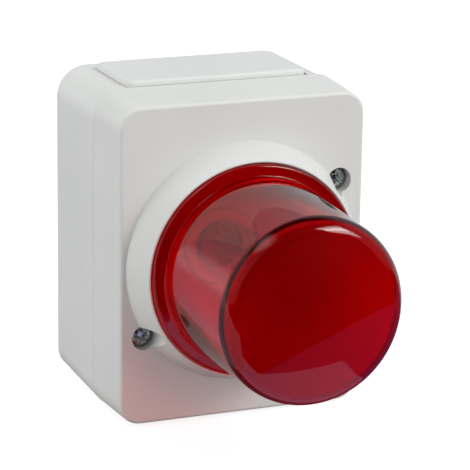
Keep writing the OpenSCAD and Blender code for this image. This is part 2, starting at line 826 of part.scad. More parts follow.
base_housing();
entry_plate();
housing_gasket();
front_cover();
cover_screws();
lens();
lens_seal();
lamp_carrier();
carrier_screws();
holder_body();
holder_screws();
holder_shell();
centre_contact();
shell_strip();
terminal_block();
terminal_clamps();
terminal_screws();
bulb_glass();
bulb_mount();
bulb_cap();
bulb_insulator();
bulb_tip();
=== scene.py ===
"""Dresses the signal lamp: finishes for every piece, a smooth red lens, cut screws, light and camera."""

import math

import bmesh
import bpy
from mathutils import Matrix, Vector


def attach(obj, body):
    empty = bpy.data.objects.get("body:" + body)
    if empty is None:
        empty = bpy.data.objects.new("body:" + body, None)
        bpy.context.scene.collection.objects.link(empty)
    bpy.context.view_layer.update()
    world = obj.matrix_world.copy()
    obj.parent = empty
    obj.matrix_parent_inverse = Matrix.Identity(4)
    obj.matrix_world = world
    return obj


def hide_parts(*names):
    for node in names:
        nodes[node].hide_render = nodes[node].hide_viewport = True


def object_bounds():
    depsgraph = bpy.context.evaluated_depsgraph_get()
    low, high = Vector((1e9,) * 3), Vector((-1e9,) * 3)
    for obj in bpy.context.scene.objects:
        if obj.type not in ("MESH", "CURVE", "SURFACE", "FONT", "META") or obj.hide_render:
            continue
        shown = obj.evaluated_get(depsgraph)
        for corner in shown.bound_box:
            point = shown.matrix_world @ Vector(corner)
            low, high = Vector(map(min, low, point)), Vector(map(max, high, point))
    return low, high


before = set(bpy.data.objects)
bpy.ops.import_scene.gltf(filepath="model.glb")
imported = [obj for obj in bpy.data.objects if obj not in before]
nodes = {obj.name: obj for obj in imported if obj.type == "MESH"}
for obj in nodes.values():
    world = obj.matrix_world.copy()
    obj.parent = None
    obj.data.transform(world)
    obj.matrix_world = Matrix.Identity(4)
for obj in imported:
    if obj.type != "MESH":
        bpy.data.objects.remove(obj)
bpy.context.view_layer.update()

MM = 0.001
BLACK = (0.0, 0.0, 0.0, 1.0)
WHITE = (1.0, 1.0, 1.0, 1.0)

# Lens, in millimetres: radii, and depths in front of the wall
LENS_FLANGE_R = 27.2
LENS_FLANGE_REAR = 56.3
LENS_FLANGE_EDGE = 57.3
LENS_FLANGE_FRONT = 58.1
LENS_FLANGE_ROUND = 0.8
LENS_FOOT_R = 24.2
LENS_FOOT_ROUND = 0.5
LENS_FRONT_R = 23.35
LENS_RIM = 95.7
LENS_EDGE_ROUND = 5.0
LENS_INNER_ROUND = 2.6
LENS_CROWN = 2.0
LENS_WALL = 1.9
LENS_SKIRT_R = 22.6
LENS_SKIRT_END = 47.3
LENS_DROP = 0.55
# Its mesh: facets round the axis, steps of its arcs and dome, and the angle from which an edge is sharp
LENS_SEGMENTS = 240
LENS_STEPS = 32
LENS_FLANGE_STEPS = 10
LENS_FOOT_STEPS = 6
LENS_SHARP_DEG = 32
# Frost of its faces: outside, inside of its front, of its rounded edge and of its wall, and its skirt
FROST_LAYER = "frost"
FROST_CLEAR = 0.0
FROST_FRONT = 1.0
FROST_EDGE = 0.9
FROST_WALL = 0.05
FROST_SKIRT = 1.5
# Depth of red of its faces: flange, wall, front and rounded edge; darker at the rounded edge, partly as
# thicker plastic and partly as painted shade
THICK_LAYER = "thick_and_shade"
THICK_FLANGE = 0.24
THICK_WALL = 0.0
THICK_FRONT = 0.42
THICK_EDGE_AND_SHADE = 1.0

# Cover screws, in millimetres: place of each (right, up, turn in degrees), then sizes and depths
SCREW_PLACES = ((26.0, 18.1, -25.0), (-26.0, -18.1, 10.0))
SCREW_SEAT = 44.4
SCREW_LEN = 26.0
SCREW_R = 1.45
SCREW_CORE_R = 1.2
SCREW_PITCH = 0.8
SCREW_HEAD_R = 2.75
SCREW_HEAD_RIM = 1.65
SCREW_HEAD_ROUND = 0.75
SCREW_HEAD_CROWN = 0.35
# Their thread begins at this many pitches from the tip
SCREW_THREAD_START = 0.25
# Their mesh: facets round the axis, steps of the head's arcs, and the angle from which an edge is sharp
SCREW_SEGMENTS = 48
SCREW_HEAD_STEPS = 10
SCREW_SHARP_DEG = 35
# Cross recess: half width, reach and corner of its rings, and their heights above the head's domed top
RECESS_RINGS = ((0.80, 2.25, 1.05, 0.30), (0.46, 1.90, 0.72, -0.10), (0.30, 0.85, 0.42, -1.25))
QUARTER_TURNS = ((1, 0), (0, 1), (-1, 0), (0, -1))

# A turned point closer to the axis than this, in millimetres, lies on it
AXIS_R = 1e-6

# Camera, found from the edges of the housing in the photograph
CAMERA_PLACE = Vector((-0.2256, -0.5971, 0.1803))
CAMERA_AZIMUTH = 22.16
CAMERA_ELEVATION = 16.36
CAMERA_ROLL = 0.91
CAMERA_LENS = 189.44
CAMERA_SENSOR = 36.0

# Noise: its roughness, and the span of its values that the finishes use
NOISE_ROUGHNESS = 0.55
NOISE_SPAN = (0.3, 0.7)
BEVEL_SAMPLES = 4
SHELTER_SAMPLES = 6

# Plastic and metal: radius of eased edges in millimetres, index of refraction and roughness
PLASTIC_EDGE = 0.2
PLASTIC_IOR = 1.49
METAL_EDGE = 0.06
METAL_ROUGHNESS = (0.18, 0.34)
# Painted shade in the seams and corners of plastic: reach in millimetres, openness from shaded to open, and
# tone
SEAM_REACH = 0.4
SEAM_OPEN = (0.35, 0.75)
SEAM_SHADE_TONE = (0.19, 0.19, 0.18, 1.0)
# Depth in millimetres in front of the wall at which the collar and the lens seat begin, which get no painted
# shade
SEAM_FRONT = 47.5
# Painted highlight on the edges of the cover screws: radius in millimetres, cosine from edge to flat, and
# tone
EDGE_HIGHLIGHT_RADIUS = 0.2
EDGE_HIGHLIGHT_TURN = (0.9, 0.995)
EDGE_HIGHLIGHT_TONE = (0.93, 0.95, 0.95, 1.0)
# Painted shade on them where sheltered, in the recess and under the head: reach in millimetres, openness from
# shaded to open, and tone
SHELTER_SHADE_REACH = 1.0
SHELTER_SHADE_OPEN = (0.4, 0.75)
SHELTER_SHADE_TONE = (0.012, 0.014, 0.015, 1.0)
# Glass of the bulb: tint, index of refraction and colour of its shadow
GLASS_TINT = (0.96, 0.98, 0.98, 1.0)
GLASS_IOR = 1.5
GLASS_SHADOW = (0.94, 0.95, 0.95, 1.0)
# Red plastic: tint of its skin where thin and where thick, the thick tint partly painted shade, colour and
# density of its depth, and shadow
RED_TINT = (1.0, 0.012, 0.02, 1.0)
RED_THICK_AND_SHADE = (0.46, 0.006, 0.014, 1.0)
RED_DEPTH = (0.88, 0.02, 0.05, 1.0)
RED_DENSITY = 160.0
RED_SHADOW = (0.87, 0.06, 0.08, 1.0)
# Its skin: share that lets light through, and roughness where polished
RED_CLEAR = 0.99
RED_POLISH = (0.015, 0.05)
# Frost of value 1: roughness, and height of its stipple in millimetres
FROST_ROUGHNESS = 0.55
FROST_STIPPLE = 0.02

# Floor, in metres: half its width, and its tone and glow
FLOOR_HALF = 3.0
FLOOR_TONE = (0.32, 0.32, 0.32, 1.0)
FLOOR_GLOW = 0.84
# What gloss sees of the floor. A plinth below the part: bluish in front, a painted pool of red light and
# shade below the lens, painted shade below and behind the housing
PLINTH_RIGHT = 0.035
PLINTH_FRONT = -0.136
PLINTH_SHINE = (0.50, 0.52, 0.88, 1.0)
PLINTH_LENS_LIGHT_FRONT = -0.09
PLINTH_LENS_LIGHT_AND_SHADE = (0.42, 0.05, 0.08, 1.0)
PLINTH_REAR_SHADE = (0.31, 0.30, 0.22, 1.0)
# A dim round table with black about it, and a pale floor from its rear on
TABLE_CENTRE = (0.119, 0.0, 0.0)
TABLE_R = 0.187
TABLE_SHINE = (0.06, 0.055, 0.2, 1.0)
TABLE_REAR = -0.04
FLOOR_SHINE = (0.72, 0.74, 0.76, 1.0)
# Grey on the left that fades to pale farther out, with black in front of it
LEFT_EDGE = -0.036
LEFT_FRONT = -0.186
LEFT_SHINE = (0.42, 0.40, 0.50, 1.0)
LEFT_FADE = (0.06, 0.7)
LEFT_FAR = (0.85, 0.88, 0.95, 1.0)

WORLD_AMBIENT = 0.53
# What gloss and glass see of the studio. Each span is of a direction's X, Y or Z, from one state to the next
# Beside the part: dark in front and above, and dim to brighter towards the rear
STUDIO_FRONT = (-0.72, -0.6)
STUDIO_ABOVE = (0.55, 0.85)
STUDIO_BESIDE = (0.2, 0.5)
STUDIO_BESIDE_FROM = (-0.2, 0.4)
# Behind the part: white, for gloss only where it is low
STUDIO_BACK = (0.15, 0.5)
STUDIO_BACK_TOP = (0.1, 0.3)
# High over the left: bright
STUDIO_HIGH = (0.72, 0.86)
STUDIO_LEFT = (0.2, 0.45)
STUDIO_OVER_LEFT = 1.5
STUDIO_TINT = (0.9, 0.93, 1.0, 1.0)
# A ray that has met no matt surface has a diffuse depth below this
FIRST_BOUNCE = 0.5

LAMP_AIM = (0.0, -0.05, 0.0)
# Soft lamps: name, place, width and height in metres, power in watts, and whether gloss shows it
LAMPS = (
    ("key", (0.60, -0.62, 0.60), (0.46, 0.45), 3.8, True),
    ("core", (0.56, -0.62, 0.60), (0.34, 0.14), 1.1, True),
    ("top", (0.0, 0.25, 0.9), (0.6, 0.6), 1.4, False),
    ("fill", (-0.98, 0.0, 0.3), (0.7, 0.7), 4.4, False),
    ("front", (0.45, -1.05, 0.12), (0.5, 0.5), 2.2, False),
    ("back", (0.0, 1.0, 0.2), (0.5, 0.5), 2.2, False),
)


# Node helpers


def new_material(name):
    """A material with a Principled shader, as (material, node tree, shader)."""
    made = bpy.data.materials.new(name)
    made.use_nodes = True
    tree = made.node_tree
    shader = tree.nodes["Principled BSDF"]
    return made, tree, shader


def add(tree, kind, **values):
    """A node of that kind, with its inputs set by name."""
    node = tree.nodes.new(kind)
    for name, value in values.items():
        node.inputs[name.replace("_", " ")].default_value = value
    return node


def feed(tree, slot, value):
    """Sets an input to a number or a colour, or links a socket to it."""
    if isinstance(value, (float, tuple)):
        slot.default_value = value
    else:
        tree.links.new(value, slot)


def axes_of(tree, coordinates):
    """The X, Y and Z of one of the texture coordinates."""
    place = tree.nodes.new("ShaderNodeTexCoord")
    axes = tree.nodes.new("ShaderNodeSeparateXYZ")
    tree.links.new(place.outputs[coordinates], axes.inputs["Vector"])
    return [axes.outputs[axis] for axis in "XYZ"]


def face_value(tree, layer):
    """The number that each face holds in that layer."""
    made = tree.nodes.new("ShaderNodeAttribute")
    made.attribute_name = layer
    return made.outputs["Fac"]


def noise(tree, per_mm, detail):
    """A noise in the piece's own coordinates, with about per_mm features in each millimetre."""
    place = tree.nodes.new("ShaderNodeTexCoord")
    made = add(tree, "ShaderNodeTexNoise", Scale=per_mm / MM, Detail=detail, Roughness=NOISE_ROUGHNESS)
    tree.links.new(place.outputs["Object"], made.inputs["Vector"])
    return made.outputs["Fac"]


def spread(tree, source, low, high):
    """A number from low to high that follows a noise."""
    made = add(tree, "ShaderNodeMapRange", From_Min=NOISE_SPAN[0], From_Max=NOISE_SPAN[1])
    made.inputs["To Min"].default_value = low
    made.inputs["To Max"].default_value = high
    tree.links.new(source, made.inputs["Value"])
    return made.outputs["Result"]


def two_tones(tree, source, dark, light):
    """A colour between two tones that follows a noise."""
    ramp = tree.nodes.new("ShaderNodeValToRGB")
    for element, position, tone in zip(ramp.color_ramp.elements, NOISE_SPAN, (dark, light)):
        element.position = position
        element.color = (*tone, 1.0)
    tree.links.new(source, ramp.inputs["Fac"])
    return ramp.outputs["Color"]


def bump(tree, source, height_mm, strength, over=None):
    """A bump of that height from a noise, laid over another normal where one is given."""
    made = add(tree, "ShaderNodeBump", Distance=height_mm * MM)
    feed(tree, made.inputs["Strength"], strength)
    tree.links.new(source, made.inputs["Height"])
    if over is not None:
        tree.links.new(over, made.inputs["Normal"])
    return made.outputs["Normal"]


def soft_edges(tree, radius_mm):
    """The normal of a piece whose sharp edges are eased by that radius."""
    made = add(tree, "ShaderNodeBevel", Radius=radius_mm * MM)
    made.samples = BEVEL_SAMPLES
    return made.outputs["Normal"]


def math_node(tree, operation, first, second):
    """A Math node of two sockets or numbers, as its result."""
    made = tree.nodes.new("ShaderNodeMath")
    made.operation = operation
    for slot, value in zip(made.inputs, (first, second)):
        feed(tree, slot, value)
    return made.outputs["Value"]


def ramp_of(tree, source, low, high):
    """0 below low, 1 above high and a smooth run between."""
    made = add(tree, "ShaderNodeMapRange", From_Min=low, From_Max=high)
    made.interpolation_type = "SMOOTHSTEP"
    tree.links.new(source, made.inputs["Value"])
    return made.outputs["Result"]


def pick(tree, mask, inside, outside):
    """One colour inside a mask and another outside. Each is a socket or a colour."""
    made = tree.nodes.new("ShaderNodeMix")
    made.data_type = "RGBA"
    tree.links.new(mask, made.inputs["Factor"])
    feed(tree, made.inputs["A"], outside)
    feed(tree, made.inputs["B"], inside)
    return made.outputs["Result"]


def either(tree, mask, outside, inside):
    """One shader outside a mask and another inside it."""
    made = tree.nodes.new("ShaderNodeMixShader")
    tree.links.new(mask, made.inputs["Fac"])
    tree.links.new(outside, made.inputs[1])
    tree.links.new(inside, made.inputs[2])
    return made.outputs["Shader"]


def sheltered(tree, reach_mm, span):
    """0 in gaps and corners within that reach, 1 in the open."""
    made = add(tree, "ShaderNodeAmbientOcclusion", Distance=reach_mm * MM)
    made.samples = SHELTER_SAMPLES
    return ramp_of(tree, made.outputs["AO"], *span)


def lit_through(tree, shader, colour):
    """Lets lamps shine through a glass shader, with a shadow of that colour."""
    passing = add(tree, "ShaderNodeBsdfTransparent", Color=colour)
    path = tree.nodes.new("ShaderNodeLightPath")
    shadow = path.outputs["Is Shadow Ray"]
    surface = either(tree, shadow, shader.outputs["BSDF"], passing.outputs["BSDF"])
    tree.links.new(surface, tree.nodes["Material Output"].inputs["Surface"])


# Materials


def moulded_plastic(name, dark, light, roughness):
    """Moulded plastic with a fine spark-eroded grain, slightly eased edges and painted shade in its seams and
    corners.
    """
    made, tree, shader = new_material(name)
    grain_tone = two_tones(tree, noise(tree, per_mm=0.03, detail=2.0), dark, light)
    _, into_wall, _ = axes_of(tree, "Object")
    # Painted shade: a darker tone in seams and corners, kept off the collar and the lens seat
    collar = math_node(tree, "LESS_THAN", into_wall, -SEAM_FRONT * MM)
    no_seam_shade = math_node(tree, "MAXIMUM", sheltered(tree, SEAM_REACH, SEAM_OPEN), collar)
    tree.links.new(pick(tree, no_seam_shade, grain_tone, SEAM_SHADE_TONE), shader.inputs["Base Color"])
    grain = noise(tree, per_mm=4.0, detail=2.0)
    tree.links.new(spread(tree, grain, *roughness), shader.inputs["Roughness"])
    eased = soft_edges(tree, PLASTIC_EDGE)
    tree.links.new(bump(tree, grain, height_mm=0.006, strength=0.5, over=eased), shader.inputs["Normal"])
    shader.inputs["IOR"].default_value = PLASTIC_IOR
    return made


def bright_metal(name, dark, light):
    """Plated or bare metal with a little tarnish and fine marks."""
    made, tree, shader = new_material(name)
    tarnish = noise(tree, per_mm=1.2, detail=5.0)
    marks = noise(tree, per_mm=9.0, detail=3.0)
    tree.links.new(two_tones(tree, tarnish, dark, light), shader.inputs["Base Color"])
    tree.links.new(spread(tree, tarnish, *METAL_ROUGHNESS), shader.inputs["Roughness"])
    eased = soft_edges(tree, METAL_EDGE)
    tree.links.new(bump(tree, marks, height_mm=0.004, strength=0.4, over=eased), shader.inputs["Normal"])
    shader.inputs["Metallic"].default_value = 1.0
    return made


def zinc_with_painted_light():
    """Zinc plate of the cover screws: uneven, with painted shade where it is sheltered and a painted
    highlight along its edges.
    """
    made, tree, shader = new_material("screw_zinc")
    patches = noise(tree, per_mm=1.4, detail=4.0)
    dents = noise(tree, per_mm=2.2, detail=2.0)
    plate = two_tones(tree, patches, dark=(0.22, 0.28, 0.28), light=(0.74, 0.80, 0.79))
    # Painted shade: near black where sheltered
    plate = pick(tree, sheltered(tree, SHELTER_SHADE_REACH, SHELTER_SHADE_OPEN), plate, SHELTER_SHADE_TONE)
    eased = soft_edges(tree, EDGE_HIGHLIGHT_RADIUS)
    faces = tree.nodes.new("ShaderNodeNewGeometry")
    turn = tree.nodes.new("ShaderNodeVectorMath")
    turn.operation = "DOT_PRODUCT"
    tree.links.new(eased, turn.inputs[0])
    tree.links.new(faces.outputs["Normal"], turn.inputs[1])
    flat = ramp_of(tree, turn.outputs["Value"], *EDGE_HIGHLIGHT_TURN)
    # Painted highlight: the edges turn near white and lose their metal sheen
    tree.links.new(pick(tree, flat, plate, EDGE_HIGHLIGHT_TONE), shader.inputs["Base Color"])
    tree.links.new(ramp_of(tree, flat, low=0.0, high=1.0), shader.inputs["Metallic"])
    tree.links.new(spread(tree, patches, low=0.14, high=0.34), shader.inputs["Roughness"])
    tree.links.new(bump(tree, dents, height_mm=0.05, strength=0.4, over=eased), shader.inputs["Normal"])
    return made


def matt_rubber(name, dark, light):
    """Matt moulded rubber."""
    made, tree, shader = new_material(name)
    grain = noise(tree, per_mm=3.0, detail=4.0)
    tree.links.new(two_tones(tree, grain, dark, light), shader.inputs["Base Color"])
    tree.links.new(spread(tree, grain, low=0.6, high=0.8), shader.inputs["Roughness"])
    tree.links.new(bump(tree, grain, height_mm=0.01, strength=0.5), shader.inputs["Normal"])
    return made


def clear_glass():
    """Thin drawn glass with faint waves."""
    made, tree, shader = new_material("bulb_glass")
    waves = noise(tree, per_mm=0.15, detail=1.0)
    tree.links.new(bump(tree, waves, height_mm=0.02, strength=0.3), shader.inputs["Normal"])
    shader.inputs["Base Color"].default_value = GLASS_TINT
    shader.inputs["Transmission Weight"].default_value = 1.0
    shader.inputs["Roughness"].default_value = 0.0
    shader.inputs["IOR"].default_value = GLASS_IOR
    lit_through(tree, shader, GLASS_SHADOW)
    return made


def black_vitrite():
    """Glossy black glass at the foot of the bulb."""
    made, tree, shader = new_material("black_vitrite")
    swirl = noise(tree, per_mm=0.8, detail=4.0)
    black = two_tones(tree, swirl, dark=(0.006, 0.006, 0.007), light=(0.016, 0.015, 0.016))
    tree.links.new(black, shader.inputs["Base Color"])
    tree.links.new(spread(tree, swirl, low=0.08, high=0.2), shader.inputs["Roughness"])
    return made


def red_lens_plastic():
    """Transparent red plastic, frosted and deepened by its faces' own values, the deepening partly painted
    shade at the rounded edge. Lamps shine through it.
    """
    made, tree, shader = new_material("red_lens")
    frost = face_value(tree, FROST_LAYER)
    flow = bump(tree, noise(tree, per_mm=0.05, detail=1.0), height_mm=0.03, strength=0.25)
    stipple = noise(tree, per_mm=1.6, detail=2.0)
    tree.links.new(bump(tree, stipple, FROST_STIPPLE, frost, flow), shader.inputs["Normal"])
    haze = math_node(tree, "MULTIPLY", frost, FROST_ROUGHNESS)
    polish = spread(tree, noise(tree, per_mm=0.25, detail=6.0), *RED_POLISH)
    tree.links.new(math_node(tree, "ADD", haze, polish), shader.inputs["Roughness"])
    thick_and_shade = face_value(tree, THICK_LAYER)
    # Darker red where thick, and painted shade at the rounded edge
    tree.links.new(pick(tree, thick_and_shade, RED_THICK_AND_SHADE, RED_TINT), shader.inputs["Base Color"])
    shader.inputs["Transmission Weight"].default_value = RED_CLEAR
    shader.inputs["IOR"].default_value = PLASTIC_IOR
    depth = add(tree, "ShaderNodeVolumeAbsorption", Color=RED_DEPTH, Density=RED_DENSITY)
    tree.links.new(depth.outputs["Volume"], tree.nodes["Material Output"].inputs["Volume"])
    lit_through(tree, shader, RED_SHADOW)
    return made


# Turned pieces


def arc(centre, radius, start, end, steps):
    """Points of an arc in the plane of radius and depth, angles in degrees."""
    angles = [math.radians(start + (end - start) * i / steps) for i in range(steps + 1)]
    return [(centre[0] + radius * math.cos(a), centre[1] + radius * math.sin(a)) for a in angles]


def hood(front_r, rim, edge_r, crown, steps):
    """Points of a domed end: a rounded edge that runs smoothly into a dome."""
    flat_r = front_r - edge_r
    ball_r = (flat_r**2 + crown**2) / (2 * crown) + edge_r
    tilt = math.asin(flat_r / (ball_r - edge_r))
    top = rim - edge_r + edge_r * math.cos(tilt) + ball_r * (1 - math.cos(tilt))
    reach = ball_r * math.sin(tilt)
    radii = [reach * (1 - i / steps) for i in range(1, steps + 1)]
    dome = [(r, top - ball_r + math.sqrt(ball_r**2 - r * r)) for r in radii]
    return arc((flat_r, rim - edge_r), edge_r, 0, 90 - math.degrees(tilt), steps) + dome


def turned(name, profile, segments, values=None):
    """A closed mesh turned about Z from a ring of (radius, height) points in millimetres.

    values names numbers of the faces, each with one number for the band that follows each point.
    """
    mesh = bpy.data.meshes.new(name)
    made = bmesh.new()
    layers = [(made.faces.layers.float.new(key), numbers) for key, numbers in (values or {}).items()]
    rings = []
    for radius, height in profile:
        turns = [2 * math.pi * i / segments for i in range(segments if radius > AXIS_R else 1)]
        rings.append([made.verts.new((radius * math.cos(t), radius * math.sin(t), height)) for t in turns])
    for band, (a, b) in enumerate(zip(rings, rings[1:] + rings[:1])):
        if len(a) == 1 and len(b) == 1:
            continue
        for i in range(segments):
            j = (i + 1) % segments
            if len(a) == 1:
                face = made.faces.new((a[0], b[j], b[i]))
            elif len(b) == 1:
                face = made.faces.new((a[i], a[j], b[0]))
            else:
                face = made.faces.new((a[i], a[j], b[j], b[i]))
            for layer, numbers in layers:
                face[layer] = numbers[band]
    bmesh.ops.recalc_face_normals(made, faces=made.faces)
    made.to_mesh(mesh)
    made.free()
    return mesh


def shown(name, mesh, sharp_deg):
    """An object of a mesh, smooth apart from edges sharper than that."""
    mesh.shade_smooth()
    mesh.set_sharp_from_angle(angle=math.radians(sharp_deg))
    piece = bpy.data.objects.new(name, mesh)
    bpy.context.collection.objects.link(piece)
    return piece


def out_from_wall(right, up, depth):
    """Takes millimetres along a piece's own axes to that place in the frame, Z pointing out from the wall."""
    place = Matrix.Translation((right * MM, -depth * MM, up * MM))
    return place @ Matrix.Rotation(math.radians(90), 4, "X") @ Matrix.Scale(MM, 4)


def lens_profile():
    """Outside of the lens from its skirt to the axis, its inside back to the skirt, and their values."""
    flange_centre = (LENS_FLANGE_R - LENS_FLANGE_ROUND, LENS_FLANGE_EDGE)
    foot_centre = (LENS_FOOT_R + LENS_FOOT_ROUND, LENS_FLANGE_FRONT + LENS_FOOT_ROUND)
    skirt = [(LENS_SKIRT_R, LENS_SKIRT_END), (LENS_SKIRT_R, LENS_FLANGE_REAR)]
    outside = skirt + [(LENS_FLANGE_R, LENS_FLANGE_REAR)]
    outside += arc(flange_centre, LENS_FLANGE_ROUND, 0, 90, LENS_FLANGE_STEPS)
    outside += arc(foot_centre, LENS_FOOT_ROUND, 270, 180, LENS_FOOT_STEPS)
    outside += hood(LENS_FRONT_R, LENS_RIM, LENS_EDGE_ROUND, LENS_CROWN, LENS_STEPS)
    inner_r = LENS_FRONT_R - LENS_WALL
    front = hood(inner_r, LENS_RIM - LENS_WALL, LENS_INNER_ROUND, LENS_CROWN, LENS_STEPS)[::-1]
    wall = [(LENS_FOOT_R - LENS_WALL, LENS_FLANGE_FRONT), (LENS_SKIRT_R - LENS_WALL, LENS_FLANGE_REAR)]
    wall += [(LENS_SKIRT_R - LENS_WALL, LENS_SKIRT_END)]

    frosting = [FROST_SKIRT] * len(skirt) + [FROST_CLEAR] * (len(outside) - len(skirt))
    frosting += [FROST_FRONT] * LENS_STEPS + [FROST_EDGE] * LENS_STEPS
    frosting += [FROST_WALL] + [FROST_SKIRT] * len(wall)

    # The rounded edge darkens towards the rim: thicker plastic and painted shade
    to_edge = [THICK_FRONT + (THICK_EDGE_AND_SHADE - THICK_FRONT) * (i / LENS_STEPS) ** 2 for i in range(LENS_STEPS)]
    front_half = to_edge[::-1] + [THICK_FRONT] * LENS_STEPS
    outer_wall = [THICK_WALL] * 2
    flange = [THICK_FLANGE] * (len(outside) - len(front_half) - len(outer_wall))
    thickness = flange + outer_wall + front_half
    thickness += front_half[::-1] + [THICK_WALL] * (1 + len(wall))
    return outside + front + wall, {FROST_LAYER: frosting, THICK_LAYER: thickness}


def make_lens():
    """The red lens, turned smoother than its solid. Its front is frosted inside, and its wall slightly so."""
    profile, values = lens_profile()
    mesh = turned("lens_turned", profile, LENS_SEGMENTS, values)
    mesh.transform(out_from_wall(0.0, -LENS_DROP, 0.0))
    piece = shown("lens_turned", mesh, LENS_SHARP_DEG)
    piece.data.materials.append(red_lens_plastic())
    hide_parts("lens")
    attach(piece, "lens_cap")


def screw_profile():
    """Head of a cover screw from its seat to the axis, then its thread, from the tip back to the seat."""
    head = [(SCREW_HEAD_R, 0.0)]
    head += hood(SCREW_HEAD_R, SCREW_HEAD_RIM, SCREW_HEAD_ROUND, SCREW_HEAD_CROWN, SCREW_HEAD_STEPS)
    turns = int(SCREW_LEN / SCREW_PITCH) - 1
    thread = [(0.0, -SCREW_LEN), (SCREW_CORE_R, -SCREW_LEN)]
    for i in range(turns):
        foot = -SCREW_LEN + SCREW_PITCH * (i + SCREW_THREAD_START)
        thread += [(SCREW_CORE_R, foot), (SCREW_R, foot + SCREW_PITCH / 2)]
    return head + thread + [(SCREW_CORE_R, -SCREW_PITCH / 2), (SCREW_CORE_R, 0.0)]


def head_top(radius):
    """Height of a cover screw's domed head at that radius."""
    flat_r = SCREW_HEAD_R - SCREW_HEAD_ROUND
    return SCREW_HEAD_RIM + SCREW_HEAD_CROWN * (1 - (radius / flat_r) ** 2)


def recess_ring(made, half, reach, corner, height):
    """One cross-shaped ring of points of the recess, which follows the dome of the head."""
    quarter = [(reach, -half), (reach, half), (corner, corner)]
    ring = []
    for c, s in QUARTER_TURNS:
        for u, v in quarter:
            top = head_top(math.hypot(u, v)) + height
            ring.append(made.verts.new((u * c - v * s, u * s + v * c, top)))
    return ring


def recess_tool():
    """The tapered cross with a chamfered mouth that is cut out of a screw head."""
    mesh = bpy.data.meshes.new("recess_tool")
    made = bmesh.new()
    rings = [recess_ring(made, *sizes) for sizes in RECESS_RINGS]
    made.faces.new(rings[0])
    made.faces.new(rings[-1])
    for upper, lower in zip(rings, rings[1:]):
        for i in range(len(upper)):
            j = (i + 1) % len(upper)
            made.faces.new((upper[i], upper[j], lower[j], lower[i]))
    bmesh.ops.triangulate(made, faces=made.faces)
    bmesh.ops.recalc_face_normals(made, faces=made.faces)
    made.to_mesh(mesh)
    made.free()
    return mesh


def cut(mesh, tool_mesh):
    """A mesh with another one cut out of it."""
    blank = bpy.data.objects.new("blank", mesh)
    tool = bpy.data.objects.new("tool", tool_mesh)
    for made in (blank, tool):
        bpy.context.collection.objects.link(made)
    taken = blank.modifiers.new("recess", "BOOLEAN")
    taken.operation = "DIFFERENCE"
    taken.solver = "EXACT"
    taken.object = tool
    bpy.context.view_layer.update()
    result = bpy.data.meshes.new_from_object(blank.evaluated_get(bpy.context.evaluated_depsgraph_get()))
    for made in (blank, tool):
        bpy.data.objects.remove(made)
    return result


def make_screws():
    """The two cover screws, with domed heads, cross recesses and threads."""
    one = cut(turned("screw", screw_profile(), SCREW_SEGMENTS), recess_tool())
    both = bmesh.new()
    for right, up, turn in SCREW_PLACES:
        copy = one.copy()
        spun = Matrix.Rotation(math.radians(turn), 4, "Z")
        copy.transform(out_from_wall(right, up, SCREW_SEAT) @ spun)
        both.from_mesh(copy)
        bpy.data.meshes.remove(copy)
    mesh = bpy.data.meshes.new("cover_screws_cut")
    both.to_mesh(mesh)
    both.free()
    mesh.materials.clear()
    mesh.materials.append(zinc_with_painted_light())
    piece = shown("cover_screws_cut", mesh, SCREW_SHARP_DEG)
    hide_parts("cover_screws")
    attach(piece, "housing")


# Finishes of the solids


def finish_solids():
    """Gives each shown solid its material."""
    housing = moulded_plastic("housing_plastic", dark=(0.688, 0.70, 0.68), light=(0.728, 0.74, 0.72),
                              roughness=(0.36, 0.46))
    holder = moulded_plastic("holder_plastic", dark=(0.74, 0.74, 0.72), light=(0.78, 0.78, 0.75),
                             roughness=(0.3, 0.4))
    cream = moulded_plastic("insulating_plastic", dark=(0.62, 0.60, 0.51), light=(0.68, 0.66, 0.57),
                            roughness=(0.4, 0.5))
    zinc = bright_metal("zinc_steel", dark=(0.42, 0.45, 0.48), light=(0.66, 0.69, 0.72))
    brass = bright_metal("contact_brass", dark=(0.30, 0.21, 0.08), light=(0.50, 0.38, 0.17))
    wire = bright_metal("lead_wire", dark=(0.36, 0.36, 0.37), light=(0.55, 0.55, 0.56))
    rubber = matt_rubber("seal_rubber", dark=(0.012, 0.012, 0.013), light=(0.024, 0.024, 0.025))
    silicone = matt_rubber("seal_silicone", dark=(0.26, 0.26, 0.25), light=(0.33, 0.33, 0.31))
    finishes = {
        housing: ["base_housing", "entry_plate", "front_cover"],
        holder: ["holder_body"],
        cream: ["lamp_carrier", "terminal_block"],
        zinc: ["carrier_screws", "holder_screws", "terminal_screws", "bulb_tip"],
        brass: ["holder_shell", "centre_contact", "shell_strip", "terminal_clamps", "bulb_cap"],
        wire: ["bulb_mount"],
        rubber: ["housing_gasket"],
        silicone: ["lens_seal"],
        clear_glass(): ["bulb_glass"],
        black_vitrite(): ["bulb_insulator"],
    }
    for finish, names in finishes.items():
        for name in names:
            solid = nodes[name].data
            solid.materials.clear()
            solid.materials.append(finish)


# Stage


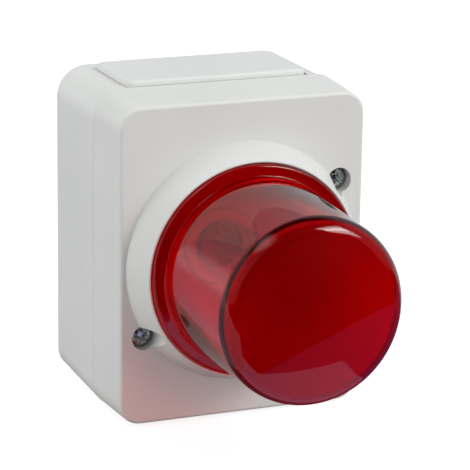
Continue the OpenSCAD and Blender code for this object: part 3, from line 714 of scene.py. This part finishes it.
def floor_shine(tree):
    """The colour that glossy surfaces see of the floor, with painted red light and shade below the lens and
    painted shade below the housing.
    """
    x, y, _ = axes_of(tree, "Object")
    flat = tree.nodes.new("ShaderNodeCombineXYZ")
    tree.links.new(x, flat.inputs["X"])
    tree.links.new(y, flat.inputs["Y"])
    away = tree.nodes.new("ShaderNodeVectorMath")
    away.operation = "DISTANCE"
    away.inputs[1].default_value = TABLE_CENTRE
    tree.links.new(flat.outputs["Vector"], away.inputs[0])

    on_table = math_node(tree, "LESS_THAN", away.outputs["Value"], TABLE_R)
    rear = math_node(tree, "GREATER_THAN", y, TABLE_REAR)
    around = pick(tree, rear, FLOOR_SHINE, pick(tree, on_table, TABLE_SHINE, BLACK))

    # Painted light and shade on the plinth: red light through the lens below it, shade below and behind the
    # housing
    under_lens = math_node(tree, "GREATER_THAN", y, PLINTH_LENS_LIGHT_FRONT)
    plinth = pick(tree, rear, PLINTH_REAR_SHADE, pick(tree, under_lens, PLINTH_LENS_LIGHT_AND_SHADE, PLINTH_SHINE))
    within_right = math_node(tree, "LESS_THAN", x, PLINTH_RIGHT)
    within_front = math_node(tree, "GREATER_THAN", y, PLINTH_FRONT)
    on_plinth = math_node(tree, "MULTIPLY", within_right, within_front)
    right_side = pick(tree, on_plinth, plinth, around)

    far_left = ramp_of(tree, math_node(tree, "MULTIPLY", x, -1.0), *LEFT_FADE)
    left_lit = math_node(tree, "GREATER_THAN", y, LEFT_FRONT)
    left_side = pick(tree, left_lit, pick(tree, far_left, LEFT_FAR, LEFT_SHINE), BLACK)
    return pick(tree, math_node(tree, "LESS_THAN", x, LEFT_EDGE), left_side, right_side)


def floor_material():
    """Matt paper that looks white to the camera and through glass. Gloss sees the floor's tones, with painted
    red light below the lens and painted shade below the housing.
    """
    made, tree, shader = new_material("floor")
    tree.nodes.remove(shader)
    path = tree.nodes.new("ShaderNodeLightPath")
    paper = add(tree, "ShaderNodeBsdfDiffuse", Color=FLOOR_TONE)
    glow = add(tree, "ShaderNodeEmission", Color=WHITE)
    seen = math_node(tree, "MAXIMUM", path.outputs["Is Camera Ray"], path.outputs["Is Transmission Ray"])
    tree.links.new(math_node(tree, "MULTIPLY", seen, FLOOR_GLOW), glow.inputs["Strength"])
    both = tree.nodes.new("ShaderNodeAddShader")
    tree.links.new(paper.outputs["BSDF"], both.inputs[0])
    tree.links.new(glow.outputs["Emission"], both.inputs[1])
    shine = tree.nodes.new("ShaderNodeEmission")
    tree.links.new(floor_shine(tree), shine.inputs["Color"])
    surface = either(tree, path.outputs["Is Glossy Ray"], both.outputs["Shader"], shine.outputs["Emission"])
    tree.links.new(surface, tree.nodes["Material Output"].inputs["Surface"])
    return made


def make_floor():
    """A pale floor under the housing. It looks white, keeps a soft shadow and lights the part from below."""
    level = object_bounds()[0].z
    mesh = bpy.data.meshes.new("floor")
    corners = [(-1, -1), (1, -1), (1, 1), (-1, 1)]
    mesh.from_pydata([(x * FLOOR_HALF, y * FLOOR_HALF, level) for x, y in corners], [], [(0, 1, 2, 3)])
    floor = bpy.data.objects.new("floor", mesh)
    bpy.context.collection.objects.link(floor)
    mesh.materials.append(floor_material())


def studio_level(tree, glass):
    """How bright gloss and glass see the studio in each direction. glass is 1 for what glass sees."""
    x, y, z = axes_of(tree, "Generated")
    not_front = ramp_of(tree, y, *STUDIO_FRONT)
    not_above = math_node(tree, "SUBTRACT", 1.0, ramp_of(tree, z, *STUDIO_ABOVE))
    to_rear = ramp_of(tree, y, *STUDIO_BESIDE_FROM)
    rise = math_node(tree, "MULTIPLY", to_rear, STUDIO_BESIDE[1] - STUDIO_BESIDE[0])
    level_beside = math_node(tree, "ADD", rise, STUDIO_BESIDE[0])
    beside = math_node(tree, "MULTIPLY", math_node(tree, "MULTIPLY", not_front, not_above), level_beside)

    high = ramp_of(tree, z, *STUDIO_HIGH)
    left = ramp_of(tree, math_node(tree, "MULTIPLY", x, -1.0), *STUDIO_LEFT)
    over_left = math_node(tree, "MULTIPLY", math_node(tree, "MULTIPLY", high, left), STUDIO_OVER_LEFT)

    low = math_node(tree, "SUBTRACT", 1.0, ramp_of(tree, z, *STUDIO_BACK_TOP))
    seen_back = math_node(tree, "MAXIMUM", low, glass)
    back = math_node(tree, "MULTIPLY", ramp_of(tree, y, *STUDIO_BACK), seen_back)
    return math_node(tree, "MAXIMUM", math_node(tree, "MAXIMUM", beside, over_left), back)


def make_world():
    """White to the camera, and even light on the part. Gloss and glass see the studio instead."""
    world = bpy.data.worlds.new("studio")
    bpy.context.scene.world = world
    world.use_nodes = True
    tree = world.node_tree
    path = tree.nodes.new("ShaderNodeLightPath")
    white = tree.nodes["Background"]
    white.inputs["Color"].default_value = WHITE
    level = add(tree, "ShaderNodeMapRange", To_Min=WORLD_AMBIENT, To_Max=1.0)
    tree.links.new(path.outputs["Is Camera Ray"], level.inputs["Value"])
    tree.links.new(level.outputs["Result"], white.inputs["Strength"])

    direct = math_node(tree, "LESS_THAN", path.outputs["Diffuse Depth"], FIRST_BOUNCE)
    glass = math_node(tree, "MULTIPLY", path.outputs["Is Transmission Ray"], direct)
    studio = add(tree, "ShaderNodeBackground", Color=STUDIO_TINT)
    tree.links.new(studio_level(tree, glass), studio.inputs["Strength"])
    sees_studio = math_node(tree, "MAXIMUM", path.outputs["Is Glossy Ray"], glass)
    surface = either(tree, sees_studio, white.outputs["Background"], studio.outputs["Background"])
    tree.links.new(surface, tree.nodes["World Output"].inputs["Surface"])


def make_softbox(name, place, size, power, mirrored):
    """A soft lamp at a place, turned to the part. Gloss shows it only where mirrored is true."""
    lamp = bpy.data.lights.new(name, "AREA")
    lamp.shape = "RECTANGLE"
    lamp.size, lamp.size_y = size
    lamp.energy = power
    made = bpy.data.objects.new(name, lamp)
    made.visible_glossy = mirrored
    made.location = place
    made.rotation_euler = (Vector(LAMP_AIM) - Vector(place)).to_track_quat("-Z", "Y").to_euler()
    bpy.context.collection.objects.link(made)


def make_lights():
    """A key lamp with a brighter core from the upper right, and broad weak ones from the other sides."""
    for lamp in LAMPS:
        make_softbox(*lamp)


def make_camera():
    """The camera at the photograph's place and angle."""
    lens = bpy.data.cameras.new("camera")
    lens.sensor_width = CAMERA_SENSOR
    lens.lens = CAMERA_LENS
    made = bpy.data.objects.new("camera", lens)
    bpy.context.collection.objects.link(made)
    turn = Matrix.Rotation(math.radians(-CAMERA_AZIMUTH), 4, "Z")
    tilt = Matrix.Rotation(math.radians(90 - CAMERA_ELEVATION), 4, "X")
    roll = Matrix.Rotation(math.radians(CAMERA_ROLL), 4, "Z")
    made.matrix_world = Matrix.Translation(CAMERA_PLACE) @ turn @ tilt @ roll
    bpy.context.scene.camera = made


finish_solids()
make_lens()
make_screws()
make_floor()
make_world()
make_lights()
make_camera()
bpy.context.scene.view_settings.view_transform = "Standard"
